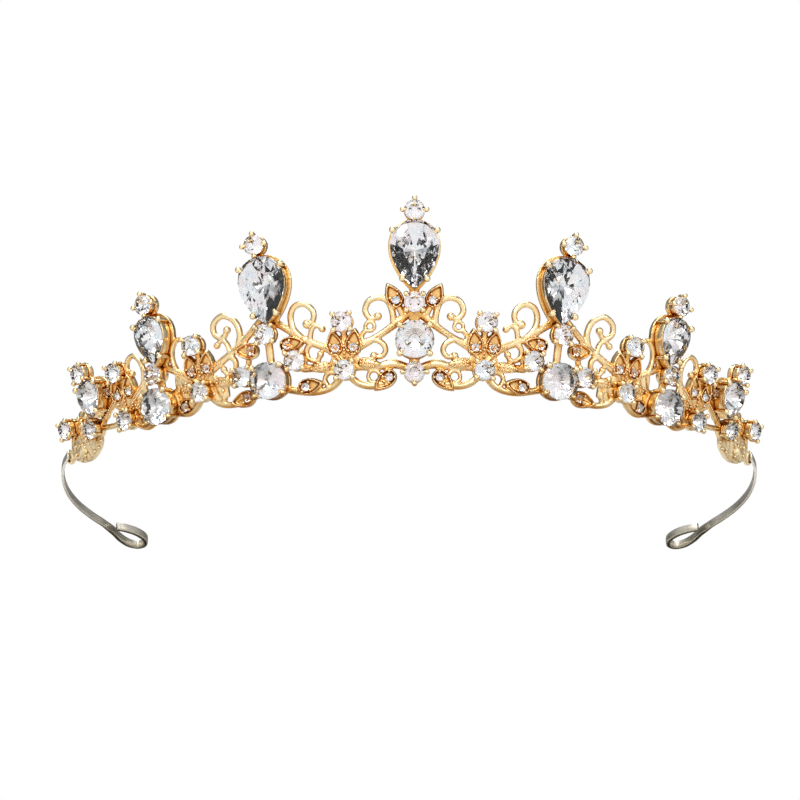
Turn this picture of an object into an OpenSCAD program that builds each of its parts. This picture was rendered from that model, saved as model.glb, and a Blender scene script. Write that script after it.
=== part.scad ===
// Filigree tiara: a flared band of cast gold-coloured panels with prong-set clear stones,
// carried on two springy strip arms that end in rolled loops.
// Millimetres. Front at -Y, Z up, X to the right as seen from the front. The origin is the middle of the
// footprint, on the plane the loops and the lowest stones rest on.

/* [Band] */
// radius of the band at its lower edge
base_r = 77.2; // [75:0.2:80]
// how far the band leans outward, degrees from vertical
flare = 20.8; // [16:0.4:24]
// thickness of the cast panels
panel_t = 1.2; // [1:0.1:1.4]

/* [Stones] */
// radius of the big round stones
big_r = 3.55; // [3.3:0.05:3.6]
// radius of the small round stones
small_r = 1.95; // [1.7:0.05:2]
// radius of the tiny stones in the petals
tiny_r = 0.76; // [0.6:0.02:0.8]
// radius of the claw beads
bead_r = 0.5; // [0.4:0.02:0.55]

/* [Arms] */
// height of the strip
arm_h = 1.8; // [1.4:0.1:2.2]
// thickness of the strip
arm_t = 0.6; // [0.4:0.05:0.7]

/* [Hidden] */
$fn = 40;

gold = [0.85, 0.66, 0.33];
gold_dark = [0.76, 0.55, 0.26];
crystal = [0.88, 0.91, 0.94];
steel = [0.70, 0.67, 0.58];

face = panel_t / 2;
// from the band's axis to the middle of the footprint
setback = 45.58;
// height of the band's base circle over the plane the tiara rests on
band_lift = 0.47;
// floor thickness of a cup, and how high the cups stand
seat = 0.2;
small_h = 1.5;
big_h = 2.6;
// how far a stone's widest line lies above its cup
proud = 0.35;

// angles of the motifs and of the links between them, degrees from the front
inner_a = 19.8;
outer_a = 37.4;
end_a = 54;
link_a = [9.4, 30.5, 44.3];

// [angle, sideways offset, height up the slope, turn of the claws] of the small round stones
small_c = [[0, 0, 4.2, 0], [0, 0, 17.4, 45], [0, 0, 34.9, 0]];
small_side = [[link_a[0], 0, 5.1, 45], [link_a[0], 0, 14.2, 45],
  [inner_a, 0, 30.6, 0], [inner_a, 0, 13.5, 45],
  [inner_a, -5.2, 7.7, 45], [inner_a, 5.4, 6.2, 45], [link_a[1], 0, 5.1, 45], [link_a[1], 0, 14.2, 45],
  [outer_a, -1.2, 24.6, 0], [outer_a, 0, 11.0, 45], [link_a[2], 0, 4.5, 45], [link_a[2], 0, 14.2, 45],
  [end_a, -3.9, 17.5, 0], [end_a, -2.9, 6.0, 45], [end_a, 5.6, 9.0, 45]];
big_c = [0, 0, 10.3];
big_side = [[inner_a, 0, 4.5], [outer_a, 0, 4.6]];
// [angle, height, width, length] of the pear stones
pear_c = [0, 26.3, 9.1, 13.1];
pear_inner = [inner_a - 0.7, 21.6, 9.1, 13.1];
pear_outer = [outer_a - 1.3, 17.2, 6.8, 9.8];
pear_end = [end_a - 4.6, 11.2, 6.3, 7.9];
// [angle, sideways offset, height, way the point lies] of the petals, each round a tiny stone
petals_c = [[0, 4.75, 3.45, -42], [0, 3.5, 18.0, 62]];
petals_inner = [[inner_a, -3.7, 10.9, 172], [inner_a, 3.6, 10.9, 8], [inner_a, -6.4, 2.6, 172],
  [inner_a, 5.4, 2.15, -8]];
petals_outer = [[outer_a, -5.0, 3.1, 172], [outer_a, 5.0, 3.1, 8]];
petals_end = [[end_a, -9.8, 11.6, 165]];
petals_link = [for (k = [0 : 2], f = [-1, 1]) [link_a[k], 1.7 * f, k == 2 ? 9.9 : 9.4, 90 - 9 * f]];

// strips of open work: [width, ball at the end, points], in millimetres about the motif's own middle line
centre_work = [
  [1.5, 0, [[1, 15.6], [3.2, 13.8], [6, 11.8], [9, 10.1], [12.4, 8.4]]],
  [1.25, 0.8, [[3.9, 13.2], [4.1, 15.6], [5, 17.8], [6.7, 18.6], [8.6, 18], [9.3, 16.2], [8.3, 14.7],
    [6.9, 15]]],
  [1.0, 0, [[9.2, 12.5], [10, 11.4], [9.6, 10]]],
  [1.15, 0.75, [[11, 8.6], [9.8, 10], [7.9, 10.7], [6.1, 10], [5.4, 8.6], [6.2, 7.4], [7.6, 7.6]]],
  [1.7, 0, [[1.4, 5.3], [4.2, 6], [7.4, 5.4], [10.5, 5.6], [12.4, 5.3]]],
  [1.4, 0, [[6.2, 2.2], [8.4, 1.9], [10.6, 2.6], [12, 4], [12.4, 6]]]];
inner_work = [
  [1.5, 0, [[0.8, 16.6], [3.4, 14.4], [6.6, 12], [10, 10.2], [13.6, 8.6]]],
  [1.0, 0.7, [[8.2, 11.6], [8.7, 13.3], [9.7, 14.1], [10.8, 13.3]]],
  [1.05, 0.7, [[8.6, 11], [7.3, 9.7], [7.5, 8], [9.1, 7.4], [9.9, 8.5]]],
  [1.5, 0, [[6.4, 6.2], [9.5, 5.9], [13.6, 5.4]]],
  [1.35, 0, [[3, 2.6], [6.4, 1.6], [9.2, 1.5], [11.8, 2.4], [13.6, 4.4]]],
  [0.95, 0, [[12.9, 4.4], [11.3, 4.9], [10.2, 3.9], [10.6, 2.4]]],
  [1.15, 0, [[4.6, 8.6], [4.2, 10], [3.4, 11.4]]]];
scroll_out = [1.25, 0.78, [[6.4, 12.2], [5.7, 14.6], [6.5, 17.2], [8.9, 18.7], [11, 17.6], [11.1, 15.6],
  [9.4, 14.5], [8.3, 15.8]]];
scroll_in = [1.25, 0.9, [[6.6, 12], [5.2, 13.9], [4.9, 16.3], [5.9, 18.1], [7.9, 18.4], [9.4, 16.9],
  [9.2, 15.1], [8, 14.5]]];
outer_work = [
  [1.45, 0, [[1.2, 12.4], [3.4, 10.9], [5.8, 9.4], [8.6, 7.6]]],
  [1.1, 0.72, [[4.4, 10.3], [3.8, 12.6], [4.3, 15], [5.8, 16.4], [7.5, 15.7], [7.9, 14], [6.8, 13]]],
  [0.95, 0, [[7.4, 8.5], [7.9, 10.3], [9, 10.9], [9.7, 9.9]]],
  [1.5, 0, [[3.2, 6.6], [5.6, 6.5], [8.6, 5.6]]],
  [1.35, 0, [[2.6, 2.6], [5.2, 1.9], [7.4, 2.8], [8.8, 4.6]]]];
end_work = [
  [1.8, 0, [[-2.9, 6], [-1, 9.2], [1.6, 9.6], [5.6, 9]]],
  [1.8, 0, [[-1, 8.8], [-5.4, 9.4]]],
  [1.9, 0, [[-5.6, 14], [-4.2, 17]]],
  [1.4, 0, [[-10.8, 9.8], [-8.2, 8.4], [-4.4, 6.4]]],
  [1.2, 0, [[-10.6, 4.9], [-8.2, 4.9], [-4.6, 5.6]]],
  [1.4, 0, [[-0.6, 9.4], [-0.4, 12], [-1.3, 14.6], [-3.2, 16.8]]],
  [1.2, 0, [[-5, 9.6], [-7.4, 10.2], [-9.6, 11.4]]],
  [2.4, 0, [[1.4, 10], [1.6, 7.4], [2.4, 4.6]]],
  [1.4, 0, [[5.6, 8.4], [6.8, 6.6], [7.8, 5]]]];
// outlines of the solid webs beside the second and the third motif
inner_web = [[9.2, 3.2], [9.6, 6.2], [12.2, 7.9], [14.3, 7], [14.2, 4.6], [11.6, 2.6]];
outer_web = [[3.4, 7.6], [4.2, 10.2], [7.2, 8.8], [8.4, 5.4], [7.2, 2.6], [4.4, 2.3]];

arm_path = [[69.4, -39.6], [70.8, -35.8], [71.4, -32], [71.5, -27.9], [70.9, -23.4], [69.4, -18.8],
  [67.3, -14.8], [65.4, -11.8]];
loop_path = [[65.9, -12.6], [64.6, -10], [63.4, -6.6], [62.4, -3], [60.8, 0.4], [58.8, 1.6], [57.2, 0.2],
  [57, -2.8], [58.4, -6], [60.6, -8.2], [62.4, -9.2]];

function slope_r(v) = base_r + v * sin(flare);
function mean(p) = [for (k = [0, 1]) (max([for (q = p) q[k]]) + min([for (q = p) q[k]])) / 2];
function blend(a, b, c, d, t) = 0.5 * (2 * b + (c - a) * t + (2 * a - 5 * b + 4 * c - d) * t * t
  + (3 * b - a - 3 * c + d) * t * t * t);
function smooth(p, n = 4) = [for (i = [0 : len(p) - 2], k = [0 : n - 1])
  blend(p[max(i - 1, 0)], p[i], p[i + 1], p[min(i + 2, len(p) - 1)], k / n), p[len(p) - 1]];
function side(p, i) = let (d = p[min(i + 1, len(p) - 1)] - p[max(i - 1, 0)]) [-d[1], d[0]] / norm(d);
function ribbon(p, w) = concat([for (i = [0 : len(p) - 1]) p[i] + side(p, i) * w / 2],
  [for (i = [len(p) - 1 : -1 : 0]) p[i] - side(p, i) * w / 2]);
// outline with a round end up and a point down
function pear(w, l) = [for (a = [0 : 12 : 348])
  [w / 1.63 * sin(a) * pow(abs(sin(a / 2)), 0.75), -l / 2 * cos(a)]];

// puts its children on the sloping band, X along the band, Y up the slope, Z outward
module on_band(a, u, v) {
  translate([0, setback, band_lift]) rotate([0, 0, a + u / slope_r(v) * 180 / PI])
    translate([0, -slope_r(v), v * cos(flare)])
      rotate([90 + flare, 0, 0]) children();
}
module both() { children(); mirror([1, 0, 0]) children(); }
module on_left() { mirror([1, 0, 0]) children(); }

// strips of open work laid on the band; f = -1 turns them towards the front
module work(a, list, f = 1, t = panel_t - 0.1) {
  for (s = list) {
    path = [for (q = s[2]) [f * q[0], q[1]]];
    c = mean(path);
    p = smooth([for (q = path) q - c]);
    on_band(a, c[0], c[1]) {
      linear_extrude(t, center = true) polygon(ribbon(p, s[0]));
      if (s[1] > 0) translate(p[len(p) - 1]) cylinder(r = s[1], h = t + 0.3, center = true);
    }
  }
}
module web(a, points, f) {
  c = mean(points);
  on_band(a, f * c[0], c[1]) linear_extrude(0.8, center = true)
    polygon([for (q = points) [f * (q[0] - c[0]), q[1] - c[1]]]);
}
module disc(a, u, v, r) { on_band(a, u, v) cylinder(r = r, h = panel_t, center = true); }
module ring(a, u, v, r) {
  on_band(a, u, v) difference() {
    cylinder(r = r, h = panel_t - 0.2, center = true);
    cylinder(r = r - 0.75, h = panel_t + 1, center = true);
  }
}
// a pointed leaf laid along the band, with a raised middle
module leaf(a, u, v, turn, l = 4.6, w = 2.1) {
  on_band(a, u, v) rotate(turn) {
    linear_extrude(panel_t, center = true) polygon(pear(w, l));
    linear_extrude(face + 0.3) polygon(pear(w * 0.7, l * 0.75));
  }
}
// a hollowed leaf round a tiny stone
module petal(a, u, v, way, w = 3.2, l = 5.2) {
  on_band(a, u, v) rotate(way + 90) difference() {
    translate([0, -1.1, -face]) linear_extrude(panel_t + 0.55) polygon(pear(w, l));
    translate([0, 0, face - 0.3]) cylinder(r = tiny_r + 0.12, h = 2);
  }
}
module petals(list) { for (p = list) petal(p[0], p[1], p[2], p[3]); }
module pear_plate(p) {
  on_band(p[0], 0, p[1]) linear_extrude(panel_t, center = true) polygon(pear(p[2] - 0.6, p[3] - 0.7));
}

module panel_centre() {
  color(gold) {
    for (p = small_c) disc(0, 0, p[2], 1.9);
    disc(0, 0, big_c[2], 3.5);
    pear_plate(pear_c);
    work(0, [[2, 0, [[0, 3], [0, 21.5]]], [2, 0, [[0, 31], [0, 34]]]]);
    for (f = [-1, 1]) {
      work(0, centre_work, f);
      ring(0, f * 8.4, 13.2, 1.25);
      ring(0, f * 7.6, 3.7, 1.5);
      leaf(0, f * 8.3, 6.2, f * -80);
    }
    both() petals(petals_c);
  }
}
module panel_inner_right() {
  color(gold) {
    disc(inner_a, 0, 30.6, 1.9);
    disc(inner_a, 0, 13.5, 1.9);
    disc(inner_a, -5.2, 7.7, 1.9);
    disc(inner_a, 5.4, 6.2, 1.9);
    disc(inner_a, 0, big_side[0][2], 3.5);
    pear_plate(pear_inner);
    work(inner_a, [[1.6, 0, [[0, 7], [0, 17.4]]], [2, 0, [[0, 27], [0, 30]]], scroll_out]);
    work(inner_a, [scroll_in], -1);
    web(inner_a, inner_web, 1);
    for (f = [-1, 1]) {
      work(inner_a, inner_work, f);
      leaf(inner_a, f * 9.6, 6.0, f * -86);
    }
    petals(petals_inner);
  }
}
module panel_inner_left() { color(gold) on_left() panel_inner_right(); }
module panel_outer_right() {
  color(gold) {
    disc(outer_a, -1.2, 24.6, 1.9);
    disc(outer_a, 0, 11.0, 1.9);
    disc(outer_a, 0, big_side[1][2], 3.5);
    pear_plate(pear_outer);
    work(outer_a, [[1.8, 0, [[0, 7], [-0.2, 11], [-1.5, 14.6]]], [2, 0, [[-1.6, 21], [-1.2, 24]]]]);
    for (f = [-1, 1]) {
      work(outer_a, outer_work, f);
      web(outer_a, outer_web, f);
      leaf(outer_a, f * 6.0, 6.6, f * -82, 4.0, 1.9);
    }
    petals(petals_outer);
  }
}
module panel_outer_left() { color(gold) on_left() panel_outer_right(); }
module panel_end_right() {
  color(gold) {
    disc(end_a, -3.9, 17.5, 1.9);
    disc(end_a, -2.9, 6.0, 1.9);
    disc(end_a, 5.6, 9.0, 1.9);
    pear_plate(pear_end);
    petals(petals_end);
    work(end_a, end_work);
  }
}
module panel_end_left() { color(gold) on_left() panel_end_right(); }

// a link: two stones joined by a stem between two petals, on a kite-shaped web
module link_pair(k) {
  a = link_a[k];
  low = k == 2 ? 4.5 : 5.1;
  high = 14.2;
  color(gold) {
    disc(a, 0, low, 1.9);
    disc(a, 0, high, 1.9);
    work(a, [[1.4, 0, [[0, low + 1.2], [0, high - 1.2]]]]);
    on_band(a, 0, 8) linear_extrude(0.8, center = true)
      polygon([[-1.2, -3.4], [-3.1, -1.4], [-2.2, 0.6], [0, 3.4], [2.2, 0.6], [3.1, -1.4], [1.2, -3.4]]);
    petals([petals_link[2 * k], petals_link[2 * k + 1]]);
  }
}
module link_inner_right() { color(gold) link_pair(0); }
module link_inner_left() { color(gold) on_left() link_pair(0); }
module link_middle_right() { color(gold) link_pair(1); }
module link_middle_left() { color(gold) on_left() link_pair(1); }
module link_outer_right() { color(gold) link_pair(2); }
module link_outer_left() { color(gold) on_left() link_pair(2); }

// round cup under a stone, with four claws that end in beads over the stone's edge
module round_cup(r, h, turn) {
  ro = r - 0.04;
  ri = r - 0.4;
  translate([0, 0, face]) {
    rotate_extrude() polygon([[0, 0], [ro - 0.3, 0], [ro, 0.6], [ro, h], [ri, h], [ri, seat], [0, seat]]);
    for (k = [0 : 3]) rotate(turn + 90 * k) translate([r + 0.2, 0, 0]) {
      cylinder(r = 0.32, h = h + proud + 0.1);
      translate([0.05, 0, h + proud + 0.1]) sphere(r = bead_r);
    }
  }
}
module round_stone(r, h) {
  translate([0, 0, face + seat]) {
    cylinder(r1 = r * 0.2, r2 = r, h = h - seat + proud);
    translate([0, 0, h - seat + proud]) cylinder(r = r, h = 0.15);
    translate([0, 0, h - seat + proud + 0.15]) intersection() {
      cylinder(r = r, h = r * 0.36);
      cylinder(r1 = r * 1.1, r2 = r * 0.6, h = r * 0.36, $fn = 8);
    }
  }
}
module cups_small_round() {
  color(gold_dark) {
    for (p = small_c) on_band(p[0], p[1], p[2]) round_cup(small_r, small_h, p[3]);
    both() for (p = small_side) on_band(p[0], p[1], p[2]) round_cup(small_r, small_h, p[3]);
  }
}
module stones_small_round() {
  color(crystal) {
    for (p = small_c) on_band(p[0], p[1], p[2]) round_stone(small_r, small_h);
    both() for (p = small_side) on_band(p[0], p[1], p[2]) round_stone(small_r, small_h);
  }
}
module cups_big_round() {
  color(gold_dark) {
    on_band(0, 0, big_c[2]) round_cup(big_r, big_h, 45);
    both() for (p = big_side) on_band(p[0], p[1], p[2]) round_cup(big_r, big_h, 45);
  }
}
module stones_big_round() {
  color(crystal) {
    on_band(0, 0, big_c[2]) round_stone(big_r, big_h);
    both() for (p = big_side) on_band(p[0], p[1], p[2]) round_stone(big_r, big_h);
  }
}

// pear cup: claws sit on the outline at a share of the way round from the point
module pear_cup(w, l) {
  edge = pear(w, l);
  translate([0, 0, face]) {
    difference() {
      linear_extrude(big_h) polygon(pear(w - 0.1, l - 0.1));
      translate([0, 0, seat]) linear_extrude(big_h) polygon(pear(w - 0.9, l - 1.4));
    }
    for (k = [4, 11, 19, 26]) translate(edge[k] * (1 + 0.24 / norm(edge[k]))) {
      cylinder(r = 0.36, h = big_h + proud + 0.1);
      translate([0, 0, big_h + proud + 0.1]) sphere(r = bead_r + 0.08);
    }
  }
}
module pear_stone(w, l) {
  translate([0, 0, face]) {
    translate([0, 0, big_h + proud + 0.15]) linear_extrude(1.3, scale = 0.55) polygon(pear(w, l));
    translate([0, 0, big_h + 0.05]) linear_extrude(proud + 0.1) polygon(pear(w, l));
    translate([0, 0, seat + 0.05]) linear_extrude(big_h - seat) polygon(pear(w - 1.2, l - 2));
  }
}
module pears_big() {
  on_band(0, 0, pear_c[1]) children();
  both() on_band(pear_inner[0], 0, pear_inner[1]) children();
}
module cups_big_pear() { color(gold_dark) pears_big() pear_cup(pear_inner[2], pear_inner[3]); }
module stones_big_pear() { color(crystal) pears_big() pear_stone(pear_inner[2], pear_inner[3]); }
module pears_pair(p) { both() on_band(p[0], 0, p[1]) children(); }
module cups_middle_pear() { color(gold_dark) pears_pair(pear_outer) pear_cup(pear_outer[2], pear_outer[3]); }
module stones_middle_pear() {
  color(crystal) pears_pair(pear_outer) pear_stone(pear_outer[2], pear_outer[3]);
}
module cups_end_pear() { color(gold_dark) pears_pair(pear_end) pear_cup(pear_end[2], pear_end[3]); }
module stones_end_pear() { color(crystal) pears_pair(pear_end) pear_stone(pear_end[2], pear_end[3]); }

module stones_tiny() {
  color(crystal) both() for (p = concat(petals_c, petals_link, petals_inner, petals_outer, petals_end))
    on_band(p[0], p[1], p[2]) translate([0, 0, face - 0.3]) {
      cylinder(r = tiny_r, h = 0.75);
      translate([0, 0, 0.75]) cylinder(r1 = tiny_r, r2 = tiny_r * 0.55, h = 0.3);
    }
}

// solder knot under the end panel, and the small eye the arm is brazed to
module end_knot_right() {
  color(gold_dark) {
    on_band(end_a, 3.3, 3.4) {
      sphere(r = 1.7);
      translate([0, 0, -0.2]) cylinder(r = 2.0, h = 1.5, center = true);
    }
    on_band(end_a, 1.6, 4.2) linear_extrude(1.3, center = true) polygon([[-5.4, 1.6], [-4.2, -1.4], [-1, -3],
      [2.6, -3], [6.2, -0.9], [6.4, 1], [3, 2.6], [-1, 2.8]]);
    on_band(end_a, 6.2, 3.9) rotate([0, 90, 0]) cylinder(r = 0.7, h = 5, center = true);
    on_band(end_a, 9.3, 4.3) translate([0, 0, 0.4]) difference() {
      cylinder(r = 1.55, h = 1.2, center = true);
      cylinder(r = 0.65, h = 3, center = true);
    }
  }
}
module end_knot_left() { color(gold_dark) on_left() end_knot_right(); }

// middle height of the strip where it leaves the knot, and its fall towards the back
arm_top = 4.55;
arm_fall = 7.5;
// the loop is rolled from the strip doubled back on itself
loop_t = arm_t * 1.7;
module arm_right() {
  color(steel) translate([0, setback, 0]) {
    translate([0, arm_path[0][1], arm_top]) rotate([-arm_fall, 0, 0])
      translate([0, -arm_path[0][1], -arm_h / 2])
        linear_extrude(arm_h) polygon(ribbon(smooth(arm_path), arm_t));
    linear_extrude(arm_h) polygon(ribbon(smooth(loop_path), loop_t));
    translate(loop_path[len(loop_path) - 1]) cylinder(r = 0.8, h = arm_h);
  }
}
module arm_left() { color(steel) on_left() arm_right(); }

panel_centre();
panel_inner_left();
panel_inner_right();
panel_outer_left();
panel_outer_right();
panel_end_left();
panel_end_right();
link_inner_left();
link_inner_right();
link_middle_left();
link_middle_right();
link_outer_left();
link_outer_right();
cups_small_round();
cups_big_round();
cups_big_pear();
cups_middle_pear();
cups_end_pear();
stones_small_round();
stones_big_round();
stones_big_pear();
stones_middle_pear();
stones_end_pear();
stones_tiny();
end_knot_left();
end_knot_right();
arm_left();
arm_right();
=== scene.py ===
import math

import bmesh
import bpy
import numpy as np
from mathutils import Matrix, Vector


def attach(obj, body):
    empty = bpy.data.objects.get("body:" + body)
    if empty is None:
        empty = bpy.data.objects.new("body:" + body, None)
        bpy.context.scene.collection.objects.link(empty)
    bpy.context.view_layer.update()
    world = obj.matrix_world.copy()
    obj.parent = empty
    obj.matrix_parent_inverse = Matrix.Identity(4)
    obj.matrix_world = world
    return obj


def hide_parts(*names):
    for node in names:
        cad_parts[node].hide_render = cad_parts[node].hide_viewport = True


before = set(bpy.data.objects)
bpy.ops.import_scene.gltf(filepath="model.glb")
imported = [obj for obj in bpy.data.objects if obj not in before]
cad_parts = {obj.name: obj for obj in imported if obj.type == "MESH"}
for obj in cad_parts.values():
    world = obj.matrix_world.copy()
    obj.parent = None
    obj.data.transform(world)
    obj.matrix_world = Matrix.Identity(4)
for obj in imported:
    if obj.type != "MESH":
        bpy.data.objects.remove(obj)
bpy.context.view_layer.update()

# The band is a cone that leans outward; lengths below are millimetres, angles degrees from the front.
BASE_R = 77.2
FLARE = math.radians(20.8)
SIN_F, COS_F = math.sin(FLARE), math.cos(FLARE)
AXIS_Y = 45.58
PANEL_T = 1.2
FACE = PANEL_T / 2
WIRE = 1.05
SMALL_R, BIG_R, TINY_R = 1.95, 3.55, 0.76
SMALL_H, BIG_H = 1.5, 2.6
# height of a cup's floor over the casting, and of a stone's girdle over its cup
SEAT, PROUD = 0.2, 0.35
# height of the band's base circle over the floor
LIFT = 0.47
# the plain drop curve is this wide, and this power draws it to its point
DROP_WIDTH, DROP_POINT = 1.63, 0.75
# sides of a strip's section, and how much of its height it keeps at its rounded ends and where it is thin
TUBE_SIDES, END_HEIGHT, THIN_HEIGHT = 12, 0.35, 0.55
# angles of the sections that round off the end of a strip
CAP_TURNS = (20, 50, 80)
# size of a plate's underside against its outline, and radius at which turned plates close on their axis
UNDERCUT, CORE = 0.96, 0.01
SIDES = ((-1, "left"), (1, "right"))
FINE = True


def on_band(a, uvw):
    """Points u along the band, v up its slope and w out of it, about the angle a, in the row frame."""
    uvw = np.atleast_2d(np.asarray(uvw, float))
    u, v, w = uvw[:, 0], uvw[:, 1], uvw[:, 2]
    r = BASE_R + v * SIN_F
    t = math.radians(a) + u / r
    out = r + w * COS_F
    return np.stack([out * np.sin(t), AXIS_Y - out * np.cos(t), LIFT + v * COS_F - w * SIN_F], 1)


def smooth(p, n=6):
    """A Catmull-Rom curve through the points p, with n steps from each to the next."""
    p = np.asarray(p, float)
    last = len(p) - 1
    out = []
    for i in range(last):
        a, b, c, d = p[max(i - 1, 0)], p[i], p[i + 1], p[min(i + 2, last)]
        bend, twist = 2 * a - 5 * b + 4 * c - d, 3 * b - a - 3 * c + d
        for k in range(n):
            t = k / n
            out.append(0.5 * (2 * b + (c - a) * t + bend * t * t + twist * t**3))
    out.append(p[last])
    return np.array(out)


def drop_outline(width, length, n=40):
    """A drop in the plane with its point down and its round end up, centred on its own length."""
    t = np.arange(n) * 2 * math.pi / n
    across = width / DROP_WIDTH * np.sin(t) * np.abs(np.sin(t / 2)) ** DROP_POINT
    return np.stack([across, -length / 2 * np.cos(t)], 1)


def turned(p, deg):
    """The points p turned by deg degrees about the middle."""
    c, s = math.cos(math.radians(deg)), math.sin(math.radians(deg))
    p = np.asarray(p, float)
    return np.stack([p[:, 0] * c - p[:, 1] * s, p[:, 0] * s + p[:, 1] * c], 1)


def quads(m, n, closed=False):
    """The faces between m rings of n points each; closed joins the last ring to the first."""
    out = []
    for i in range(m if closed else m - 1):
        j = (i + 1) % m
        for k in range(n):
            q = (k + 1) % n
            out.append([i * n + k, i * n + q, j * n + q, j * n + k])
    return out


def flipped(faces):
    """The same faces looking the other way, each from the same first point."""
    return [f[:1] + f[:0:-1] for f in faces]


class Piece:
    """Gathers the faces of one piece in millimetres and makes its mesh object."""

    def __init__(self):
        self.verts, self.faces, self.mats, self.soft, self.count = [], [], [], [], 0

    def add(self, points, faces, mats=None, soft=True):
        """Adds faces that count from the first of these points; mats gives the material of each."""
        self.verts.append(np.asarray(points, float))
        self.faces += [[i + self.count for i in f] for f in faces]
        self.mats += mats or [0] * len(faces)
        self.soft += [soft] * len(faces)
        self.count += len(points)

    def tube(self, a, path, w=WIRE, t=PANEL_T, lift=0.0, taper=None, fine=6):
        """A rounded strip of width w and thickness t swept along path; taper gives its width along it."""
        p = smooth(path, fine)
        steps = np.linalg.norm(np.diff(p, axis=0), axis=1)
        s = np.concatenate([[0], np.cumsum(steps)])
        wide = np.full(len(p), w)
        if taper is not None:
            wide = w * np.interp(s / s[-1], np.linspace(0, 1, len(taper)), taper)
        d = np.gradient(p, axis=0)
        d /= np.linalg.norm(d, axis=1)[:, None]

        def cap(i, way):
            """Sections beyond the end i of the strip that round it off, from the strip outward."""
            found = []
            for k in map(math.radians, CAP_TURNS):
                found.append((p[i] + way * d[i] * wide[i] / 2 * math.sin(k), d[i], wide[i], math.cos(k)))
            return found

        rows = cap(0, -1)[::-1] + [(p[i], d[i], wide[i], 1.0) for i in range(len(p))] + cap(-1, 1)
        m, n = len(rows), TUBE_SIDES
        pts = []
        for c, along, wi, share in rows:
            for k in range(n):
                th = 2 * math.pi * k / n
                e = math.cos(th) * wi / 2 * share
                h = math.sin(th) * t / 2 * (END_HEIGHT + (1 - END_HEIGHT) * share)
                h *= min(1.0, THIN_HEIGHT + (1 - THIN_HEIGHT) * wi / w)
                pts.append([c[0] - along[1] * e, c[1] + along[0] * e, h + lift])
        ends = [list(range(n))[::-1], [(m - 1) * n + k for k in range(n)]]
        self.add(on_band(a, pts), quads(m, n) + ends)

    def lathe(self, a, u, v, profile, n=40):
        """Turns a closed profile of (radius, height out of the band) about the point u, v."""
        pts = []
        for r, h in profile:
            for k in range(n):
                th = 2 * math.pi * k / n
                pts.append([u + r * math.cos(th), v + r * math.sin(th), h])
        self.add(on_band(a, pts), quads(len(profile), n, True))

    def bead(self, a, u, v, h, r, tall=1.0, n=14):
        """A ball of radius r about the point u, v, h; tall is its height against its width."""
        pts, faces = [[u, v, h - r * tall]], []
        m = n // 2
        for i in range(1, m):
            ph = math.pi * i / m
            for k in range(n):
                th = 2 * math.pi * k / n
                x, y = r * math.sin(ph) * math.cos(th), r * math.sin(ph) * math.sin(th)
                pts.append([u + x, v + y, h - r * tall * math.cos(ph)])
        pts.append([u, v, h + r * tall])
        top = len(pts) - 1
        for k in range(n):
            q = (k + 1) % n
            faces.append([0, 1 + q, 1 + k])
            for i in range(m - 2):
                b = 1 + i * n
                faces.append([b + k, b + q, b + n + q, b + n + k])
            b = 1 + (m - 2) * n
            faces.append([b + k, b + q, top])
        self.add(on_band(a, pts), faces)

    def dome(self, a, u, v, outline, low, height, steps=8):
        """A closed plate with that outline about u, v.

        height(s, point) is its top at point, which lies at the share s of the way to the outline.
        """
        outline = np.asarray(outline, float)
        n = len(outline)
        pts = [[u, v, height(0.0, np.zeros(2))]]
        for j in range(1, steps + 1):
            s = j / steps
            for q in outline:
                pts.append([u + q[0] * s, v + q[1] * s, height(s, q * s)])
        for q in outline:
            pts.append([u + q[0] * UNDERCUT, v + q[1] * UNDERCUT, low])
        pts.append([u, v, low])
        faces = []
        for k in range(n):
            q = (k + 1) % n
            faces.append([0, 1 + k, 1 + q])
            for j in range(steps):
                b = 1 + j * n
                faces.append([b + k, b + n + k, b + n + q, b + q])
            faces.append([len(pts) - 1, 1 + steps * n + q, 1 + steps * n + k])
        self.add(on_band(a, pts), faces)

    def build(self, name, materials, nodes, slot, remesh=0.0, extra=None):
        """Makes the object and lets it stand for its CAD nodes; the record's slot is not used."""
        ob = make_object(name, self, materials)
        if remesh and FINE:
            ob = fused(ob, remesh)
        if extra is not None:
            join_into(ob, make_object(name + "_extra", extra, materials))
        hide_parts(*nodes)
        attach(ob, "root")
        return ob


def make_object(name, piece, materials):
    """A mesh object, in metres, of what the piece has gathered."""
    me = bpy.data.meshes.new(name)
    me.from_pydata((np.concatenate(piece.verts) * 0.001).tolist(), [], piece.faces)
    for m in materials:
        me.materials.append(m)
    me.polygons.foreach_set("material_index", piece.mats)
    me.polygons.foreach_set("use_smooth", piece.soft)
    me.update()
    ob = bpy.data.objects.new(name, me)
    bpy.context.scene.collection.objects.link(ob)
    return ob


def fused(ob, voxel):
    """Melts the overlapping bodies of a casting into one skin, as metal poured in one mould."""
    mod = ob.modifiers.new("melt", "REMESH")
    mod.mode = "VOXEL"
    mod.voxel_size = voxel * 0.001
    mod.use_smooth_shade = True
    sm = ob.modifiers.new("soften", "SMOOTH")
    sm.factor = 0.5
    sm.iterations = 2
    deps = bpy.context.evaluated_depsgraph_get()
    me = bpy.data.meshes.new_from_object(ob.evaluated_get(deps))
    me.name = ob.name + "_skin"
    old = ob.data
    ob.modifiers.clear()
    ob.data = me
    bpy.data.meshes.remove(old)
    return ob


def join_into(ob, more):
    """Adds the mesh of more to ob and removes more."""
    bm = bmesh.new()
    bm.from_mesh(ob.data)
    bm.from_mesh(more.data)
    bm.to_mesh(ob.data)
    bm.free()
    data = more.data
    bpy.data.objects.remove(more)
    bpy.data.meshes.remove(data)


# ---------------------------------------------------------------- materials


def new_material(name):
    mat = bpy.data.materials.new(name)
    mat.use_nodes = True
    return mat, mat.node_tree, mat.node_tree.nodes["Principled BSDF"]


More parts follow.
